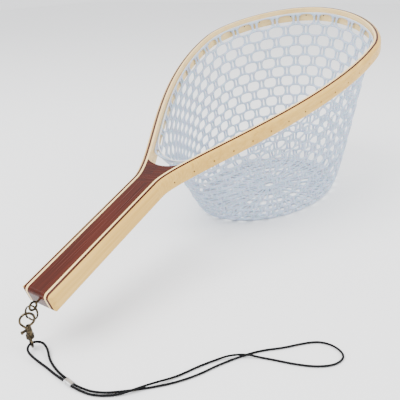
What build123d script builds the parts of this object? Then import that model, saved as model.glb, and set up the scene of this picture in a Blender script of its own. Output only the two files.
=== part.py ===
from build123d import *
import os
from math import cos, pi, radians, sin, sqrt, tan

os.makedirs("parts", exist_ok=True)

# Millimetres, +Z up. The net stands on the flat of its bag, hoop end raised, so that
# the handle's butt and the clasp are near the floor. X runs from butt to hoop tip.

# Attitude of the wooden frame
pitch = 18.0                 # slope of the frame's top face, degrees
butt_x = -283.0              # top edge of the butt, along X
butt_height = 56.0           # top edge of the butt, above the floor

# Wooden frame, drawn flat with its top face at 0 and X from the butt
frame_length = 600.0         # to the middle strip's centre line at the tip
hoop_width = 251.7           # between the middle strip's centre lines
grip_length = 159.1          # straight part of the handle
grip_half = 13.85            # middle strip's centre line from the middle of the handle
widest_at = 485.0            # where the hoop is widest
frame_depth = 19.5
flare_start = 0.125          # how long the curve stays along the handle
flare_end = 0.449            # how long it lies along the widest part
nose_side = 0.446
nose_front = 0.509
middle_strip = 2.6           # thickness of the dark strip
inner_strip = 2.2
outer_strip = 3.5
edge_round = 5.2             # rounding of the outer edges, into the dark strip
butt_round = 4.5             # across the end of the handle, top and bottom
butt_corner = 6.0            # at the sides of its end
throat_x = 184.7             # deepest point of the hollow at the throat
throat_radius = 35.0
strip_overrun = 40.0         # the strips are drawn past the butt, then cut off
rail_points = 24             # along each side of the hoop

# Lacing
lace_pitch = 25.0            # along the middle strip
lace_height = -11.0          # below the top face
lace_first = 19.0            # first hole, past the end of the straight handle
lace_hole = 2.0
lace_recess = 0.7            # the ties stop short of the outer face
lace_through = 3.0           # the drill runs past both faces
rim_line_size = 1.3
rim_line_height = -6.6
line_spots = 15              # along each side

# Bag
rim_height = -8.0            # top edge of the bag, below the frame's top face
rim_start = 204.0            # where the bag's edge crosses the throat
rim_meets = 0.13             # share of the hoop's side before the edge lies along it
rim_gap = 0.6
corner_ease = 2.5            # the bag's edge stands off the hoop beside the throat
foot_x = 148.2               # middle of the flat the bag stands on
foot_long = 130.2            # half of its length
foot_wide = 84.3             # half of its width
bag_wall = 1.5
bag_fullness = 0.388         # lower makes the wall drop more steeply from the rim
bag_points = 13

# Screw eye in the butt
eye_wire = 2.0
eye_inner = 5.2
eye_neck = 2.0
eye_height = -10.0           # below the frame's top face
eye_shank = 14.0

# Split ring: two turns of wire side by side
ring_wire = 1.0
ring_inner = 11.4
ring_gap = 0.06              # between the turns

# Trigger snap
hook_wire = 2.2
hook_inner = 10.2
hook_azimuth = 64.0          # direction the hook's flat side faces
hook_open_from = 36.0        # angle of the hook's tip round its loop
ring_play = 0.8              # between the split ring and the screw eye
snap_x = -290.2
snap_y = 6.1
snap_top = 30.6              # middle of the hook's loop, above the floor
body_top_radius = 2.1
body_low_radius = 3.1
body_length = 9.0
collar_radius = 3.5
collar_length = 3.9
collar_grooves = 20
groove_size = 0.5
gate_wire = 2.0
gate_pin_out = 0.9           # gate's pin from the snap's axis
gate_leaves_at = -35.0       # angle round the loop where the gate runs straight to its pin
gate_slot_play = 0.25
gate_tip_gap = 0.3
tip_overlap = 14.0           # the two tips are drawn this far past each other, then cut
lever_length = 5.4
lever_wide = 2.4
lever_thick = 1.7
lever_droop = 20.0           # lever's slope below level, degrees
pin_size = 1.2
pin_clearance = 0.05
body_lap = 0.4               # the body reaches this far up into the loop

# Swivel
swivel_wire = 1.8
swivel_inner = 5.4
swivel_azimuth = -20.0       # direction the swivel eye's hole faces
swivel_post = 2.6
swivel_head = 4.2
swivel_head_thick = 1.2
swivel_play = 0.2
swivel_floor_gap = 1.8

# Lanyard
leader_size = 2.2
wrist_size = 1.9
crimp_x = -303.35
crimp_y = -53.75
crimp_length = 8.8
crimp_wide = 5.6
crimp_high = 3.4
crimp_azimuth = 262.8        # direction from the leader to the wrist loop
strand_spacing = 2.5         # of the two strands in the crimp
floor_play = 0.1             # cords and crimp above the floor
crossing_play = 0.3          # between strands that cross
bend_share = 0.45            # share of the shorter run used up by a bend

frame_place = Location((butt_x, 0, butt_height)) * Rotation(0, -pitch, 0)


def in_room(x, y, z):
    turned = Vector(x, y, z).rotate(Axis.Y, -pitch)
    return turned + Vector(butt_x, 0, butt_height)


def save(shape, name):
    export_step(shape, "parts/" + name + ".step")
    print(f"{name:18s} volume {shape.volume:10.1f}  solids {len(shape.solids())}")


# Centre line of the middle strip on the left side
half_width = hoop_width / 2
flare_run = widest_at - grip_length
nose_run = frame_length - widest_at
straight_side = Edge.make_line((-strip_overrun, grip_half), (grip_length, grip_half))
flare = Edge.make_bezier(
    (grip_length, grip_half),
    (grip_length + flare_start * flare_run, grip_half),
    (widest_at - flare_end * flare_run, half_width),
    (widest_at, half_width),
)
nose = Edge.make_bezier(
    (widest_at, half_width),
    (widest_at + nose_side * nose_run, half_width),
    (frame_length, nose_front * half_width),
    (frame_length, 0),
)
left_lines = [straight_side, flare, nose]
centre_path = Wire(left_lines + [edge.mirror(Plane.XZ) for edge in left_lines])
hoop_side = Wire([flare, nose])

outer_face_at = middle_strip / 2 + outer_strip
inner_face_at = middle_strip / 2 + inner_strip

# Room the wood is cut back to: the handle's end is rounded every way
handle_half = grip_half + outer_face_at
end_block = Rectangle(4 * butt_corner, 2 * handle_half, align=(Align.MIN, Align.CENTER))
end_block = fillet(end_block.vertices().group_by(Axis.X)[0], butt_corner)
rest_block = Pos(3 * butt_corner, 0) * Rectangle(
    2 * frame_length, 2 * hoop_width, align=(Align.MIN, Align.CENTER))
keep_plan = extrude(end_block + rest_block, frame_depth, dir=(0, 0, -1))
keep_side = Box(2 * frame_length, 2 * hoop_width, frame_depth,
                align=(Align.MIN, Align.CENTER, Align.MAX))
keep_side = fillet(keep_side.edges().filter_by(Axis.Y).group_by(Axis.X)[0], butt_round)
keep = keep_plan & keep_side


def hoop_point(share, distance, height):
    spot = hoop_side @ share
    along = hoop_side % share
    return Vector(spot.X - along.Y * distance, spot.Y + along.X * distance, height)


def outline(distance):
    """Flat face inside the line that runs this far outside the middle strip's centre."""
    side = grip_half + distance
    points = [hoop_point(n / rail_points, distance, 0) for n in range(rail_points + 1)]
    points[0] = Vector(grip_length, side, 0)
    points[-1] = Vector(frame_length + distance, 0, 0)
    handle_edge = Edge.make_line((-strip_overrun, side), (grip_length, side))
    hoop_edge = Edge.make_spline(points, tangents=[(1, 0, 0), (0, -1, 0)])
    left = [handle_edge, hoop_edge]
    right = [edge.mirror(Plane.XZ) for edge in left]
    back = Edge.make_line((-strip_overrun, side), (-strip_overrun, -side))
    return make_face(left + right + [back])


# Section of the three strips together, rounded on the outside
stack_width = outer_face_at + inner_face_at
stack_section = Pos(outer_face_at - stack_width / 2, -frame_depth / 2) * Rectangle(stack_width, frame_depth)
stack_section = fillet(stack_section.vertices().group_by(Axis.X)[-1], edge_round)


def strip(inside, outside):
    """One lamination, bent from butt to butt round the hoop."""
    section = Pos((inside + outside) / 2, -frame_depth / 2) * Rectangle(outside - inside, frame_depth)
    start = Plane(origin=(-strip_overrun, grip_half, 0), x_dir=(0, 1, 0), z_dir=(1, 0, 0))
    return sweep(start * (section & stack_section), path=centre_path) & keep


# Holes for the lacing, square to the hoop, both sides alike
hoop_side_length = hoop_side.length
lace_count = int((hoop_side_length - lace_first) // lace_pitch) + 1
lace_shares = [(lace_first + n * lace_pitch) / hoop_side_length for n in range(lace_count)]


def across_strips(share, from_inner, to_outer, radius):
    start = hoop_point(share, -inner_face_at + from_inner, lace_height)
    end = hoop_point(share, outer_face_at + to_outer, lace_height)
    path = end - start
    one = Plane(origin=start, z_dir=path.normalized()) * extrude(Circle(radius), path.length)
    return [one, one.mirror(Plane.XZ)]


hole_cutters = []
tie_list = []
for share in lace_shares:
    hole_cutters += across_strips(share, -lace_through, lace_through, lace_hole / 2)
    tie_list += across_strips(share, 0, -lace_recess, lace_hole / 2)

outer_lamination = strip(middle_strip / 2, outer_face_at)
middle_lamination = strip(-middle_strip / 2, middle_strip / 2)
inner_lamination = strip(-inner_face_at, -middle_strip / 2)
outer_lamination = outer_lamination - hole_cutters
middle_lamination = middle_lamination - hole_cutters
inner_lamination = inner_lamination - hole_cutters
lacing_ties = Compound(tie_list)

# Core of the handle, hollowed at the throat
core_face = outline(-inner_face_at)
throat_circle = Pos(throat_x + throat_radius, 0) * Circle(throat_radius)
hoop_inside = Pos(throat_x + throat_radius, 0) * Rectangle(
    2 * frame_length, 2 * hoop_width, align=(Align.MIN, Align.CENTER))
core_face = core_face - throat_circle - hoop_inside
handle_core = extrude(core_face, frame_depth, dir=(0, 0, -1)) & keep

eye_radius = (eye_inner + eye_wire) / 2
eye_centre_x = -(eye_neck + eye_radius + eye_wire / 2)
shank = Plane(origin=(eye_centre_x + eye_radius, 0, eye_height), z_dir=(1, 0, 0)) * extrude(
    Circle(eye_wire / 2), eye_shank - eye_centre_x - eye_radius)
eye_loop = Location((eye_centre_x, 0, eye_height)) * Rotation(90, 0, 0) * Torus(
    eye_radius, eye_wire / 2)
screw_eye = eye_loop + shank
handle_core = handle_core - shank


# Bag: an open loft from the rim, sloped like the frame, to the flat it stands on
rim_off = inner_face_at + rim_gap


def rim_flat(share):
    """Point on the left half of the bag's edge, 0 at the throat and 1 at the tip."""
    if share == 0:
        return Vector(rim_start, 0, 0)
    along = rim_meets + (1 - rim_meets) * share
    return hoop_point(along, -rim_off - corner_ease * (1 - share) ** 6, 0)


rim_shares = [(n / (bag_points - 1)) ** 0.9 for n in range(bag_points)]
rim_room = []
for share in rim_shares:
    spot = rim_flat(share)
    rim_room.append(in_room(spot.X, spot.Y, rim_height))
rim_run = [0.0]
for n in range(1, bag_points):
    rim_run.append(rim_run[-1] + (rim_room[n] - rim_room[n - 1]).length)


def bag_section(depth, inset, floor_at):
    sink = 1 - cos(pi * depth / 2)
    inwards = sink ** bag_fullness if depth > 0 else 0.0
    left = 1 - sin(pi * depth / 2) if depth < 1 else 0.0
    low_x = rim_room[0].X + (foot_x - foot_long - rim_room[0].X) * inwards
    high_x = rim_room[-1].X + (foot_x + foot_long - rim_room[-1].X) * inwards
    low_z = floor_at + (rim_room[0].Z - floor_at) * left
    high_z = floor_at + (rim_room[-1].Z - floor_at) * left
    slope = (high_z - low_z) / (high_x - low_x)
    middle_x = (low_x + high_x) / 2
    half = []
    for spot, run in zip(rim_room, rim_run):
        angle = pi * (1 - run / rim_run[-1])
        end_x = foot_x + foot_long * cos(angle)
        end_y = foot_wide * sin(angle)
        x = spot.X + (end_x - spot.X) * inwards
        y = spot.Y + (end_y - spot.Y) * inwards
        reach = sqrt((x - middle_x) ** 2 + y ** 2)
        x = middle_x + (x - middle_x) * (1 - inset / reach)
        y = y * (1 - inset / reach)
        half.append(Vector(x, y, low_z + slope * (x - low_x)))
    half[0] = Vector(half[0].X, 0, half[0].Z)
    half[-1] = Vector(half[-1].X, 0, half[-1].Z)
    other = [Vector(spot.X, -spot.Y, spot.Z) for spot in half[1:-1]]
    return Face(Wire(Edge.make_spline(half + other[::-1], periodic=True)))


bag_depths = [0.0, 0.04, 0.12, 0.22, 0.34, 0.48, 0.62, 0.76, 0.88, 1.0]
bag_outside = loft([bag_section(depth, 0, 0) for depth in bag_depths], ruled=True)
bag_inside = loft([bag_section(depth, bag_wall, bag_wall) for depth in bag_depths], ruled=True)
net_bag = bag_outside - bag_inside

# Clear line along the inside of the hoop, just above the bag's edge
line_off = inner_face_at + rim_line_size / 2 + rim_gap
line_points = []
for n in range(line_spots):
    share = n / (line_spots - 1)
    stand_off = line_off + corner_ease * (1 - share) ** 6
    line_points.append(hoop_point(rim_meets + (1 - rim_meets) * share, -stand_off, rim_line_height))
line_start = Vector(rim_start, 0, rim_line_height)
line_right = [Vector(spot.X, -spot.Y, spot.Z) for spot in line_points[:-1]]
line_path = Edge.make_spline([line_start] + line_points + line_right[::-1], periodic=True)
line_section = Plane(origin=line_path @ 0, z_dir=line_path % 0) * Circle(rim_line_size / 2)
rim_line = sweep(line_section, path=line_path)

# Clasp, in the room's own directions
eye_room = in_room(eye_centre_x, 0, eye_height)
ring_radius = (ring_inner + ring_wire) / 2
hook_radius = (hook_inner + hook_wire) / 2
hook_middle = Vector(snap_x, snap_y, snap_top)
eye_low = eye_room - Vector(0, 0, eye_radius)

# The split ring hangs between the eye's lowest point and the middle of the hook
to_hook = (hook_middle - eye_low).normalized()
ring_middle = eye_low + to_hook * (ring_radius - (eye_wire + ring_wire) / 2 - ring_play)
across = Vector(1, 0, 0)
ring_normal = (across - to_hook * across.dot(to_hook)).normalized()
ring_plane = Plane(origin=ring_middle, x_dir=to_hook, z_dir=ring_normal)
ring_pitch = ring_wire + ring_gap
ring_path = Pos(0, 0, -ring_pitch) * Helix(ring_pitch, 2 * ring_pitch, ring_radius)
ring_section = Plane(origin=ring_path @ 0, z_dir=ring_path % 0) * Circle(ring_wire / 2)
split_ring = ring_plane * sweep(ring_section, path=ring_path, is_frenet=True)

# Snap, drawn with its loop in XZ: X towards the gate, Z up, then turned about Z
snap_place = Location(hook_middle) * Rotation(0, 0, hook_azimuth + 90)
body_top = -(hook_radius - body_lap)
body_low = body_top - body_length
leave = radians(gate_leaves_at)
pin_x = gate_pin_out
gate_run = (hook_radius * cos(leave) - pin_x) / -sin(leave)
pin_z = hook_radius * sin(leave) - gate_run * cos(leave)
slot_half = gate_wire / 2 + gate_slot_play

# The hook's tip and the gate's tip meet on a curve about the pin, so the gate swings past
tip_x = hook_radius * cos(radians(hook_open_from))
tip_z = hook_radius * sin(radians(hook_open_from))
meet_radius = sqrt((tip_x - pin_x) ** 2 + (tip_z - pin_z) ** 2)


def about_pin(radius):
    return Pos(pin_x, 0, pin_z) * Rotation(90, 0, 0) * Cylinder(radius, 4 * hook_wire)


hook_arc = Rotation(90, 0, 0) * CenterArc((0, 0), hook_radius, hook_open_from - tip_overlap,
                                          270 - hook_open_from + tip_overlap)
hook_section = Plane(origin=hook_arc @ 0, z_dir=hook_arc % 0) * Circle(hook_wire / 2)
beside_tip = Pos(hook_radius / 3, 0, 0) * Box(
    2 * hook_radius, 4 * hook_wire, 4 * hook_radius, align=(Align.MIN, Align.CENTER, Align.CENTER))
hook = sweep(hook_section, path=hook_arc) - (about_pin(meet_radius) & beside_tip)
body = Pos(0, 0, body_low) * Cone(body_low_radius, body_top_radius, body_length,
                                  align=(Align.CENTER, Align.CENTER, Align.MIN))
slot_low = pin_z - gate_wire / 2 - lever_thick / 2
slot = Pos(pin_x - slot_half, 0, slot_low) * Box(
    3 * body_low_radius, 2 * slot_half, body_top - slot_low + body_lap,
    align=(Align.MIN, Align.CENTER, Align.MIN))
head_room = swivel_head_thick + 2 * swivel_play
cavity = Pos(0, 0, body_low) * Cylinder(swivel_head / 2 + swivel_play, head_room,
                                        align=(Align.CENTER, Align.CENTER, Align.MIN))
pin_length = 2 * sqrt((body_top_radius + 0.2) ** 2 - pin_x ** 2)
pin = Pos(pin_x, 0, pin_z) * Rotation(90, 0, 0) * Cylinder(pin_size / 2, pin_length)
snap_body = snap_place * ((body - slot - cavity - pin) + hook)
gate_pin = snap_place * pin

gate_arc = Rotation(90, 0, 0) * CenterArc((0, 0), hook_radius, gate_leaves_at,
                                          hook_open_from + tip_overlap - gate_leaves_at)
gate_line = Line((pin_x, 0, pin_z), gate_arc @ 0)
gate_path = Wire([gate_line.edge(), gate_arc.edge()])
gate_section = Plane(origin=gate_path @ 0, z_dir=gate_path % 0) * Circle(gate_wire / 2)
gate_bar = sweep(gate_section, path=gate_path) & about_pin(meet_radius - gate_tip_gap)
gate_knuckle = Pos(pin_x, 0, pin_z) * Rotation(90, 0, 0) * Cylinder(gate_wire / 2, gate_wire)
lever_arm = Pos(pin_x, 0, pin_z) * Rotation(0, lever_droop, 0) * Box(
    lever_length, gate_wire, lever_thick, align=(Align.MIN, Align.CENTER, Align.CENTER))
lever_pad = Pos(pin_x, 0, pin_z) * Rotation(0, lever_droop, 0) * Pos(lever_length, 0, 0) * (
    Rotation(90, 0, 0) * Cylinder(lever_thick * 0.7, lever_wide))
gate_bore = Pos(pin_x, 0, pin_z) * Rotation(90, 0, 0) * Cylinder(
    pin_size / 2 + pin_clearance, 4 * gate_wire)
snap_gate = snap_place * (gate_bar + gate_knuckle + lever_arm + lever_pad - gate_bore)

collar_plain = Cylinder(collar_radius, collar_length, align=(Align.CENTER, Align.CENTER, Align.MAX))
collar_plain = fillet(collar_plain.edges(), groove_size / 2)
collar_hole = Cylinder(swivel_post / 2 + swivel_play, 4 * collar_length)
groove = Box(groove_size, groove_size, collar_length)
grooves = [Rotation(0, 0, 360 * n / collar_grooves) * Pos(collar_radius, 0, -collar_length / 2) * groove
           for n in range(collar_grooves)]
swivel_collar = snap_place * Pos(0, 0, body_low) * (collar_plain - collar_hole - grooves)

# Swivel eye: loop, post through the collar, head inside the snap's body
swivel_radius = (swivel_inner + swivel_wire) / 2
swivel_middle = swivel_floor_gap + swivel_radius + swivel_wire / 2
head_under = snap_top + body_low + swivel_play
swivel_loop = Pos(0, 0, swivel_middle) * Rotation(0, 90, 0) * Torus(swivel_radius, swivel_wire / 2)
post_from = swivel_middle + swivel_radius
post = Pos(0, 0, post_from) * Cylinder(swivel_post / 2, head_under - post_from,
                                       align=(Align.CENTER, Align.CENTER, Align.MIN))
head = Pos(0, 0, head_under) * Cylinder(swivel_head / 2, swivel_head_thick,
                                        align=(Align.CENTER, Align.CENTER, Align.MIN))
swivel_eye = Pos(snap_x, snap_y, 0) * Rotation(0, 0, swivel_azimuth) * (swivel_loop + post + head)

# Lanyard: crimp, then a short loop through the swivel eye and a long one for the wrist
low = leader_size / 2 + floor_play
lie = wrist_size / 2 + floor_play
over = lie + wrist_size + crossing_play
crimp_middle = crimp_high / 2 + floor_play
crimp_plane = Plane(origin=(crimp_x, crimp_y, crimp_middle),
                    x_dir=(cos(radians(crimp_azimuth + 90)), sin(radians(crimp_azimuth + 90)), 0),
                    z_dir=(cos(radians(crimp_azimuth)), sin(radians(crimp_azimuth)), 0))
crimp_oval = SlotOverall(crimp_wide, crimp_high)
crimp_block = crimp_plane * extrude(crimp_oval, crimp_length / 2, both=True)
lanyard_crimp = crimp_block


def crimp_end(side, end):
    return crimp_plane.from_local_coords(Vector(side * strand_spacing / 2, 0, end * crimp_length / 2))


leader_start = crimp_end(1, -1)
leader_finish = crimp_end(-1, -1)
leader_points = [
    leader_start,
    (-300.0, -38.0, low),
    (-293.5, -19.5, low),
    (-285.0, -8.0, low + 1.6),
    (snap_x + 7.3, snap_y - 4.7, low + 3.8),
    (snap_x + 0.1, snap_y + 1.2, low + 5.2),
    (snap_x - 8.3, snap_y - 2.8, low + 3.8),
    (-300.0, -10.0, low + 1.2),
    (-300.6, -24.0, low),
    (-303.0, -38.0, low),
    leader_finish,
]
wrist_start = crimp_end(1, 1)
wrist_finish = crimp_end(-1, 1)
wrist_points = [
    wrist_start,
    (-301.9, -69.5, lie),
    (-297.5, -82.0, lie),
    (-289.5, -93.0, lie),
    (-271.5, -112.5, lie),
    (-257.0, -125.0, lie),
    (-240.0, -135.5, lie),
    (-222.5, -142.5, lie),
    (-199.5, -155.5, lie),
    (-186.5, -165.5, lie),
    (-175.0, -178.5, lie),
    (-161.0, -190.0, lie),
    (-151.0, -201.0, lie),
    (-149.5, -214.5, lie),
    (-157.0, -226.5, lie),
    (-170.5, -224.5, lie),
    (-181.5, -212.5, lie),
    (-188.5, -195.5, lie),
    (-193.0, -178.0, lie),
    (-196.5, -166.5, lie),
    (-201.2, -156.9, over),
    (-209.6, -145.7, over),
    (-218.5, -137.5, lie),
    (-233.0, -129.5, lie),
    (-252.0, -121.5, lie),
    (-268.8, -111.8, over),
    (-282.8, -103.1, over),
    (-291.5, -95.5, lie),
    (-300.3, -84.0, lie),
    (-304.9, -71.0, lie),
    wrist_finish,
]


def cord(name, points, size, limp):
    """Round cord through the points, straight runs joined by tangent arcs."""
    spots = [Vector(spot) for spot in points]
    radii = []
    for n in range(1, len(spots) - 1):
        arriving = spots[n] - spots[n - 1]
        leaving = spots[n + 1] - spots[n]
        turn = radians(arriving.get_angle(leaving))
        shorter = min(arriving.length, leaving.length)
        radii.append(bend_share * shorter / tan(turn / 2))
    path = FilletPolyline(*spots, radius=radii)
    section = Plane(origin=path @ 0, z_dir=path % 0) * Circle(size / 2)
    tube = sweep(section, path=path)
    straight = pi * size ** 2 / 4 * path.length
    print(name, "length", round(path.length, 1), "radii", [round(radius, 1) for radius in radii],
          "smallest in diameters", round(min(radii) / size, 2), "of", limp,
          "volume against section times length", round(tube.volume / straight, 4),
          "lowest", round(tube.bounding_box().min.Z, 2))
    return tube


leader_loop = cord("leader loop", leader_points, leader_size, 3)
wrist_loop = cord("wrist loop", wrist_points, wrist_size, 3)

save(frame_place * handle_core, "handle_core")
save(frame_place * inner_lamination, "inner_lamination")
save(frame_place * middle_lamination, "middle_lamination")
save(frame_place * outer_lamination, "outer_lamination")
save(frame_place * lacing_ties, "lacing_ties")
save(frame_place * rim_line, "rim_line")
save(frame_place * screw_eye, "screw_eye")
save(net_bag, "net_bag")
save(split_ring, "split_ring")
save(snap_body, "snap_body")
save(gate_pin, "gate_pin")
save(snap_gate, "snap_gate")
save(swivel_collar, "swivel_collar")
save(swivel_eye, "swivel_eye")
save(lanyard_crimp, "lanyard_crimp")
save(leader_loop, "leader_loop")
save(wrist_loop, "wrist_loop")

gate_axis_at = snap_place * Pos(pin_x, 0, pin_z)
print("ring swings about", eye_room)
print("snap swings about", ring_middle + to_hook * ring_radius)
print("gate turns about", gate_axis_at.position, "facing azimuth", hook_azimuth)
print("swivel turns about", snap_x, snap_y, "at height", swivel_middle + swivel_radius)
print("bag edge from", rim_room[0], "to", rim_room[-1])
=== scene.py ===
import bpy
import numpy as np
from mathutils import Matrix, Vector
from math import cos, pi, radians, sin


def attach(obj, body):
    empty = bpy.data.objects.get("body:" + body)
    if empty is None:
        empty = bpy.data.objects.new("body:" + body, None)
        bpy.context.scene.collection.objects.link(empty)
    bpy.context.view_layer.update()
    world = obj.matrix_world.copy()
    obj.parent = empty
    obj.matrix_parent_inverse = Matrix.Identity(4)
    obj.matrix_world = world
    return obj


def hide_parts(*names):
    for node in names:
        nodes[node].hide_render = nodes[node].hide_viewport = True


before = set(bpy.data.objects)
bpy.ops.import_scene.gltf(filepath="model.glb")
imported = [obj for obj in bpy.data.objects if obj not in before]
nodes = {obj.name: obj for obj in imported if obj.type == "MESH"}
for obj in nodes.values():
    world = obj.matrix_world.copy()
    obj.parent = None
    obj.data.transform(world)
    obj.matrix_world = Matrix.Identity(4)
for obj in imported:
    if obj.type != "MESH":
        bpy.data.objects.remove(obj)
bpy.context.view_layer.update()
mm = 0.001


# Camera
camera_data = bpy.data.cameras.new("camera")
camera_data.lens = 47.3875
camera_data.sensor_width = 36.0
camera_data.clip_start = 0.01
camera = bpy.data.objects.new("camera", camera_data)
bpy.context.scene.collection.objects.link(camera)
camera.matrix_world = Matrix((
    (0.5567, 0.3483, -0.7542, -0.51002),
    (-0.8303, 0.2043, -0.5185, -0.32668),
    (-0.0265, 0.9148, 0.4030, 0.29974),
    (0, 0, 0, 1)))
bpy.context.scene.camera = camera


# Shader maths
class Value:
    def __init__(self, shade, socket):
        self.shade = shade
        self.socket = socket

    def math(self, operation, other=0.0):
        return self.shade.make("ShaderNodeMath", {0: self, 1: other}, 0, operation=operation)

    def __add__(self, other):
        return self.math("ADD", other)

    def __sub__(self, other):
        return self.math("SUBTRACT", other)

    def __mul__(self, other):
        return self.math("MULTIPLY", other)

    def __truediv__(self, other):
        return self.math("DIVIDE", other)

    def __pow__(self, other):
        return self.math("POWER", other)

    def sine(self):
        return self.math("SINE")

    def span(self, low, high):
        return self.shade.make("ShaderNodeMapRange", {0: self, 1: low, 2: high}, 0)


class Shade:
    def __init__(self, name):
        self.material = bpy.data.materials.new(name)
        self.material.use_nodes = True
        self.tree = self.material.node_tree
        self.surface = self.tree.nodes["Principled BSDF"]

    def make(self, kind, inputs, output, **settings):
        node = self.tree.nodes.new(kind)
        for key, setting in settings.items():
            setattr(node, key, setting)
        for key, given in inputs.items():
            if isinstance(given, Value):
                self.tree.links.new(given.socket, node.inputs[key])
            else:
                node.inputs[key].default_value = given
        return Value(self, node.outputs[output])

    def place(self):
        spot = self.make("ShaderNodeTexCoord", {}, "Object")
        return [self.make("ShaderNodeSeparateXYZ", {0: spot}, n) for n in range(3)]

    def point(self, x, y, z):
        return self.make("ShaderNodeCombineXYZ", {0: x, 1: y, 2: z}, 0)

    def noise(self, point, scale, detail=3.0):
        return self.make("ShaderNodeTexNoise", {"Vector": point, "Scale": scale, "Detail": detail}, 0)

    def mix(self, share, a, b):
        return self.make("ShaderNodeMix", {0: share, 6: a, 7: b}, 2, data_type="RGBA")

    def bump(self, height, distance, strength=1.0):
        return self.make("ShaderNodeBump", {"Height": height, "Distance": distance,
                                            "Strength": strength}, 0)

    def set(self, **given):
        for key, value in given.items():
            name = key.replace("_", " ").title().replace("Ior", "IOR")
            if isinstance(value, Value):
                self.tree.links.new(value.socket, self.surface.inputs[name])
            else:
                self.surface.inputs[name].default_value = value
        return self.material


def colour(red, green, blue):
    return (red, green, blue, 1.0)


def wood(name, light, dark, rings, fine):
    """Varnished wood, its grain along the handle and round the hoop."""
    shade = Shade(name)
    x, y, z = shade.place()
    from_middle = x - 0.105
    radius = (from_middle * from_middle + y * y) ** 0.5
    angle = shade.make("ShaderNodeMath", {0: y, 1: from_middle}, 0, operation="ARCTAN2")
    on_hoop = x.span(-0.135, -0.08)
    across = radius * on_hoop + y * (on_hoop * -1.0 + 1.0)
    along = angle * on_hoop * 0.18 + x * (on_hoop * -1.0 + 1.0)
    lift = z - x * 0.325
    grain = shade.noise(shade.point(across * rings, along * 6.0, lift * rings), 1.0, 4.0)
    streak = shade.noise(shade.point(across * fine, along * 22.0, lift * fine), 1.0, 2.0)
    patch = shade.noise(shade.point(across * 30.0, along * 9.0, lift * 30.0), 1.0, 1.0)
    tone = (grain * 0.55 + streak * 0.3 + patch * 0.25).span(0.36, 0.74)
    return shade.set(
        base_color=shade.mix(tone, colour(*dark), colour(*light)),
        roughness=streak * 0.12 + 0.2,
        coat_weight=0.12,
        coat_roughness=0.1,
        specular_ior_level=0.12,
        normal=shade.bump(streak, 0.00012, 0.35))


def metal(name, dark, bright, rough):
    shade = Shade(name)
    x, y, z = shade.place()
    spot = shade.point(x, y, z)
    worn = shade.noise(spot, 420.0, 4.0).span(0.42, 0.68)
    fine = shade.noise(spot, 1600.0, 2.0)
    return shade.set(
        base_color=shade.mix(worn, colour(*dark), colour(*bright)),
        metallic=0.9,
        roughness=fine * 0.2 + rough,
        normal=shade.bump(fine, 0.00004, 0.4))


def rubber(name, tint, alpha):
    shade = Shade(name)
    x, y, z = shade.place()
    cloud = shade.noise(shade.point(x, y, z), 30.0, 3.0)
    fine = shade.noise(shade.point(x, y, z), 500.0, 2.0)
    shadow = tuple(part * 0.8 for part in tint)
    return shade.set(
        base_color=shade.mix(cloud, colour(*shadow), colour(*tint)),
        roughness=fine * 0.15 + 0.28,
        subsurface_weight=0.25,
        subsurface_scale=0.003,
        alpha=cloud * 0.16 + (alpha - 0.08),
        normal=shade.bump(fine, 0.00005, 0.3))


def cord_weave(name, size):
    """Black braid: two sets of slanting ridges round and along the cord."""
    shade = Shade(name)
    x, y, z = shade.place()
    turns = 2 * pi / (size * 0.55)
    one = ((x + y * 0.6 + z * 1.4) * turns).sine()
    two = ((x * 0.6 - y + z * 1.4) * turns).sine()
    ridge = one * two * 0.5 + 0.5
    # Base colour is darker where the ridge is low: painted shade in the grooves of the braid, on top
    # of the bump
    return shade.set(
        base_color=shade.mix(ridge, colour(0.002, 0.002, 0.0022), colour(0.009, 0.009, 0.01)),
        specular_ior_level=0.08,
        roughness=ridge * 0.2 + 0.55,
        normal=shade.bump(ridge, 0.00012, 0.6))


light_wood = wood("light_wood", (0.74, 0.47, 0.12), (0.56, 0.31, 0.055), 260.0, 1500.0)
pale_wood = wood("pale_wood", (0.92, 0.68, 0.32), (0.78, 0.52, 0.2), 240.0, 1500.0)
dark_wood = wood("dark_wood", (0.06, 0.008, 0.003), (0.02, 0.003, 0.0015), 240.0, 1400.0)
core_wood = wood("core_wood", (0.075, 0.01, 0.003), (0.016, 0.0025, 0.0012), 200.0, 1100.0)
brass = metal("antique_brass", (0.018, 0.014, 0.009), (0.13, 0.095, 0.05), 0.25)
crimp_metal = metal("crimp_metal", (0.5, 0.5, 0.51), (0.8, 0.8, 0.8), 0.25)
clear_rubber = rubber("clear_rubber", (0.5, 0.6, 0.74), 0.9)
clear_line = rubber("clear_line", (0.86, 0.87, 0.86), 0.8)
dark_line = rubber("dark_line", (0.05, 0.035, 0.025), 1.0)

for name, material in (
        ("handle_core", core_wood), ("inner_lamination", pale_wood),
        ("middle_lamination", dark_wood), ("outer_lamination", light_wood),
        ("lacing_ties", dark_line), ("rim_line", clear_line), ("screw_eye", brass),
        ("split_ring", brass), ("snap_body", brass), ("gate_pin", brass),
        ("snap_gate", brass), ("swivel_collar", brass), ("swivel_eye", brass),
        ("lanyard_crimp", crimp_metal)):
    for material_slot in nodes[name].material_slots:
        material_slot.material = material


# Lanyard
def cord(name, points, size, material):
    data = bpy.data.curves.new(name, "CURVE")
    data.dimensions = "3D"
    data.bevel_depth = size / 2 * mm
    data.bevel_resolution = 4
    data.resolution_u = 8
    data.use_fill_caps = True
    spline = data.splines.new("NURBS")
    spline.points.add(len(points) - 1)
    for spot, (x, y, z) in zip(spline.points, points):
        spot.co = (x * mm, y * mm, z * mm, 1.0)
    spline.order_u = 3
    spline.use_endpoint_u = True
    piece = bpy.data.objects.new(name, data)
    bpy.context.scene.collection.objects.link(piece)
    data.materials.append(material)
    return piece


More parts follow.
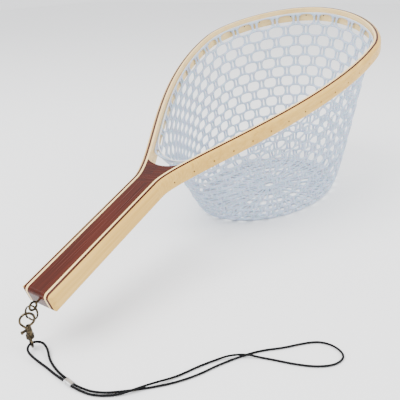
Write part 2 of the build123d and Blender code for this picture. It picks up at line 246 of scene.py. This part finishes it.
leader_points = [
    (-301.5, -49.5, 1.8), (-300.0, -38.0, 1.2), (-293.5, -19.5, 1.2), (-285.0, -8.0, 2.8),
    (-282.9, 1.4, 5.0), (-290.1, 7.3, 6.4), (-298.5, 3.3, 5.0), (-300.0, -10.0, 2.4),
    (-300.6, -24.0, 1.2), (-303.0, -38.0, 1.2), (-304.0, -49.2, 1.8)]
wrist_points = [
    (-302.7, -58.3, 1.8), (-301.9, -69.5, 1.05), (-297.5, -82.0, 1.05), (-289.5, -93.0, 1.05),
    (-271.5, -112.5, 1.05), (-257.0, -125.0, 1.05), (-240.0, -135.5, 1.05),
    (-222.5, -142.5, 1.05), (-199.5, -155.5, 1.05), (-186.5, -165.5, 1.05),
    (-175.0, -178.5, 1.05), (-161.0, -190.0, 1.05), (-151.0, -201.0, 1.05),
    (-149.5, -214.5, 1.05), (-157.0, -226.5, 1.05), (-170.5, -224.5, 1.05),
    (-181.5, -212.5, 1.05), (-188.5, -195.5, 1.05), (-193.0, -178.0, 1.05),
    (-196.5, -166.5, 1.05), (-201.2, -156.9, 3.25), (-209.6, -145.7, 3.25),
    (-218.5, -137.5, 1.05), (-233.0, -129.5, 1.05), (-252.0, -121.5, 1.05),
    (-268.8, -111.8, 3.25), (-282.8, -103.1, 3.25), (-291.5, -95.5, 1.05),
    (-300.3, -84.0, 1.05), (-304.9, -71.0, 1.05), (-305.1, -57.9, 1.8)]

leader = cord("leader_cord", leader_points, 2.2, cord_weave("leader_weave", 0.0022))
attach(leader, "lanyard")
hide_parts("leader_loop")
wrist = cord("wrist_cord", wrist_points, 1.9, cord_weave("wrist_weave", 0.0019))
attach(wrist, "lanyard")
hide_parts("wrist_loop")


# Net bag
pitch = radians(18.0)
grip_length, grip_half, widest_at, hoop_half, tip = 159.1, 13.85, 485.0, 125.85, 600.0
flare_run = widest_at - grip_length
nose_run = tip - widest_at
inner_face = 3.5
foot_x, foot_long, foot_wide = 148.2, 130.2, 84.3
lie = 1.8


def bezier(a, b, c, d, count):
    t = np.linspace(0, 1, count)[:, None]
    a, b, c, d = (np.array(spot, float) for spot in (a, b, c, d))
    return a * (1 - t) ** 3 + 3 * b * t * (1 - t) ** 2 + 3 * c * t ** 2 * (1 - t) + d * t ** 3


side = np.vstack([
    bezier((grip_length, grip_half), (grip_length + 0.125 * flare_run, grip_half),
           (widest_at - 0.449 * flare_run, hoop_half), (widest_at, hoop_half), 300),
    bezier((widest_at, hoop_half), (widest_at + 0.446 * nose_run, hoop_half),
           (tip, 0.509 * hoop_half), (tip, 0), 200)[1:]])
slope = np.gradient(side, axis=0)
slope /= np.linalg.norm(slope, axis=1)[:, None]
side = side + (inner_face + 1.2) * np.stack([slope[:, 1], -slope[:, 0]], axis=1)
side_run = np.concatenate([[0], np.cumsum(np.linalg.norm(np.diff(side, axis=0), axis=1))])


def half_rim(share):
    """Bag's edge on the left half, flat: 0 at the throat, 1 at the tip."""
    corner = 0.07
    turn = np.clip(share / corner, 0, 1) * pi / 2
    run = side_run[-1] * (0.13 + 0.87 * np.clip((share - corner) / (1 - corner), 0, 1))
    x = np.interp(run, side_run, side[:, 0])
    y = np.interp(run, side_run, side[:, 1])
    start_x = np.interp(0.13 * side_run[-1], side_run, side[:, 0])
    start_y = np.interp(0.13 * side_run[-1], side_run, side[:, 1])
    bent = share < corner
    x = np.where(bent, 204 + (start_x - 204) * (1 - np.cos(turn)), x)
    y = np.where(bent, start_y * np.sin(turn), y)
    return x, y


def bag_point(around, depth):
    """Place on the bag in mm. Around runs 0 to 1 from the throat, depth 0 to 1 down the wall."""
    left = around <= 0.5
    share = np.where(left, 2 * around, 2 - 2 * around)
    flat_x, flat_y = half_rim(share)
    flat_y = np.where(left, flat_y, -flat_y)
    rim_x = -283 + flat_x * cos(pitch) + 8.0 * sin(pitch)
    rim_z = 56 + flat_x * sin(pitch) - 8.0 * cos(pitch)
    angle = pi * (1 - 2 * around)
    end_x = foot_x + foot_long * np.cos(angle)
    end_y = foot_wide * np.sin(angle)
    inward = (1 - np.cos(pi * depth / 2)) ** 0.388
    crumple = np.exp(-(np.minimum(around, 1 - around) / 0.09) ** 2) * np.sin(pi * depth)
    ripple = 3.2 * crumple * np.sin(95 * around + 7 * depth)
    ripple = ripple + 1.1 * np.sin(pi * depth) * np.sin(43 * around + 5 * depth)
    x = rim_x + (end_x - rim_x) * inward + ripple * np.cos(angle) * 0.6 + 2.5 * crumple
    y = flat_y + (end_y - flat_y) * inward - ripple * np.sin(angle) * 0.6
    z = lie + (rim_z - lie) * (1 - np.sin(pi * depth / 2))
    return np.stack([x, y, z], axis=-1)


periods = 30
columns = 4 * periods
wall_rows = 15
floor_rings = (0.9, 0.78, 0.64, 0.48, 0.31, 0.17, 0.08)
rows = wall_rows + len(floor_rings)
bar_places = (0.0, 0.2, 0.5, 0.7)

bpy.ops.object.select_all(action="DESELECT")
bpy.ops.mesh.primitive_grid_add(x_subdivisions=columns, y_subdivisions=rows, size=2.0)
net = bpy.context.object
net.name = "rubber_net"
mesh = net.data
flat = np.zeros(len(mesh.vertices) * 3)
mesh.vertices.foreach_get("co", flat)
flat = flat.reshape(-1, 3)
column = np.rint((flat[:, 0] + 1) / 2 * columns).astype(int) % columns
row = np.rint((flat[:, 1] + 1) / 2 * rows).astype(int)
around = (column // 4 + np.array(bar_places)[column % 4]) / periods

depths = np.linspace(0, 1, 81)
place = np.zeros_like(flat)
for n in range(columns):
    at = (n // 4 + bar_places[n % 4]) / periods
    wall = bag_point(np.full(81, at), depths)
    run = np.concatenate([[0], np.cumsum(np.linalg.norm(np.diff(wall, axis=0), axis=1))])
    chosen = np.interp(np.linspace(0, 1, wall_rows + 1) * run[-1], run, depths)
    spots = bag_point(np.full(wall_rows + 1, at), chosen)
    angle = pi * (1 - 2 * at)
    for ring in floor_rings:
        twist = 0.05 * sin(9 * angle + 6 * ring) * (1 - ring)
        spots = np.vstack([spots, [foot_x + foot_long * ring * cos(angle + twist),
                                   foot_wide * ring * sin(angle + twist), lie]])
    here = column == n
    place[here] = spots[row[here]]
mesh.vertices.foreach_set("co", (place * mm).ravel())
mesh.update()

# Drop the bars that the pattern leaves out, then thicken what is left
ends = np.zeros(len(mesh.edges) * 2, dtype=int)
mesh.edges.foreach_get("vertices", ends)
ends = ends.reshape(-1, 2)
upright = column[ends[:, 0]] == column[ends[:, 1]]
top = np.minimum(row[ends[:, 0]], row[ends[:, 1]])
which = column[ends[:, 0]] % 4
even = np.where(top % 2 == 0, which < 2, which >= 2)
kept = np.where(top < wall_rows, even, np.where(top < wall_rows + 3, which % 2 == 0, which == 0))
edge_mark = mesh.attributes.new("drop_bar", "BOOLEAN", "EDGE")
edge_mark.data.foreach_set("value", (upright & ~kept))
bpy.context.tool_settings.mesh_select_mode = (False, True, False)
bpy.ops.object.mode_set(mode="EDIT")
bpy.ops.mesh.select_all(action="SELECT")
bpy.ops.mesh.remove_doubles(threshold=0.00001)
bpy.ops.object.mode_set(mode="OBJECT")
marks = np.zeros(len(mesh.edges), dtype=bool)
mesh.attributes["drop_bar"].data.foreach_get("value", marks)
mesh.vertices.foreach_set("select", np.zeros(len(mesh.vertices), dtype=bool))
mesh.polygons.foreach_set("select", np.zeros(len(mesh.polygons), dtype=bool))
mesh.edges.foreach_set("select", marks)
bpy.ops.object.mode_set(mode="EDIT")
bpy.ops.mesh.dissolve_edges(use_verts=False)
bpy.ops.object.mode_set(mode="OBJECT")
strands = net.modifiers.new("strands", "WIREFRAME")
strands.thickness = 0.0038
strands.use_even_offset = True
strands.use_boundary = True
rounded = net.modifiers.new("rounded", "SUBSURF")
rounded.levels = 1
for modifier in ("strands", "rounded"):
    bpy.ops.object.modifier_apply(modifier=modifier)
bpy.ops.object.shade_smooth()
mesh.materials.clear()
mesh.materials.append(clear_rubber)
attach(net, "net")
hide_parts("net_bag")
print("net triangles", sum(len(face.vertices) - 2 for face in mesh.polygons))


# Floor and light
bpy.ops.object.select_all(action="DESELECT")
bpy.ops.mesh.primitive_plane_add(size=8.0, location=(0, 0, -0.0002))
floor = bpy.context.object
floor.name = "floor"
floor_shade = Shade("floor_paint")
floor.data.materials.append(floor_shade.set(base_color=colour(0.93, 0.93, 0.93), roughness=0.6))

world = bpy.data.worlds.new("world")
bpy.context.scene.world = world
world.use_nodes = True
world.node_tree.nodes["Background"].inputs[0].default_value = (0.97, 0.98, 1.0, 1.0)
world.node_tree.nodes["Background"].inputs[1].default_value = 1.7


def area_light(name, place, target, size, power):
    data = bpy.data.lights.new(name, "AREA")
    data.size = size
    data.energy = power
    lamp = bpy.data.objects.new(name, data)
    bpy.context.scene.collection.objects.link(lamp)
    lamp.location = place
    away = np.array(target, float) - np.array(place, float)
    lamp.rotation_euler = Vector(away).to_track_quat("-Z", "Y").to_euler()


area_light("key_light", (-0.9, 0.5, 1.7), (0.0, 0.0, 0.1), 1.4, 55.0)
area_light("fill_light", (0.6, -1.4, 1.2), (0.0, 0.0, 0.1), 1.2, 22.0)
